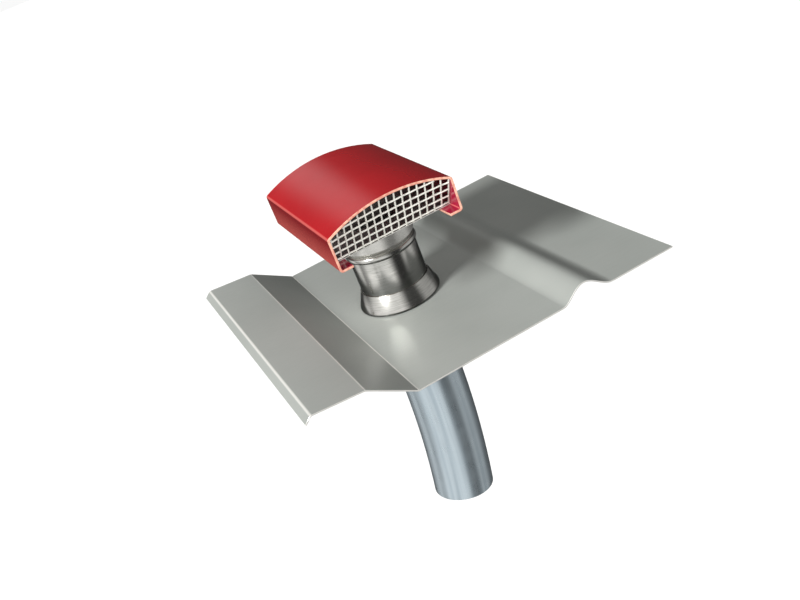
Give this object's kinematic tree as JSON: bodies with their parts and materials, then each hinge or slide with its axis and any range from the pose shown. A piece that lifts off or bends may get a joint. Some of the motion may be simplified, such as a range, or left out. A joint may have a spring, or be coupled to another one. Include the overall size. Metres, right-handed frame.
{
  "type": "roof vent duct",
  "caption": "Roof vent with an arched red cowl and mesh ends on a steel standpipe, a stepped roof flashing, a plate below it and a bent duct.",
  "frame": {"origin": "on the pipe's axis at the underside of the lower plate, where the vent lies on the roof", "axes": "the roof's plane is level: +X up the slope, +Y across the roof, +Z off the roof along the pipe"},
  "size_m": [0.666, 0.64, 0.6978],
  "materials": {
    "red_paint": "satin crimson paint",
    "neck_steel": "polished along the pipe",
    "mesh_wire": "pale galvanised wire",
    "sheet_metal": "satin grey sheet",
    "bright_steel": "polished, with long reflections",
    "plate_metal": "satin grey sheet",
    "sleeve_plastic": "satin blue-grey",
    "duct_plastic": "satin blue-grey with long streaks",
    "screw_steel": "bright plated steel"
  },
  "bodies": {
    "root": {"cowl": "red_paint", "cowl_base": "neck_steel", "grille_near": "mesh_wire", "grille_far": "mesh_wire", "flashing": "sheet_metal", "standpipe": "bright_steel", "lower_plate": "plate_metal", "lower_pipe": "bright_steel", "sleeve": "sleeve_plastic", "duct": "duct_plastic", "wing_screw_lower": "screw_steel", "wing_screw_upper": "screw_steel"}
  },
  "joints": []
}
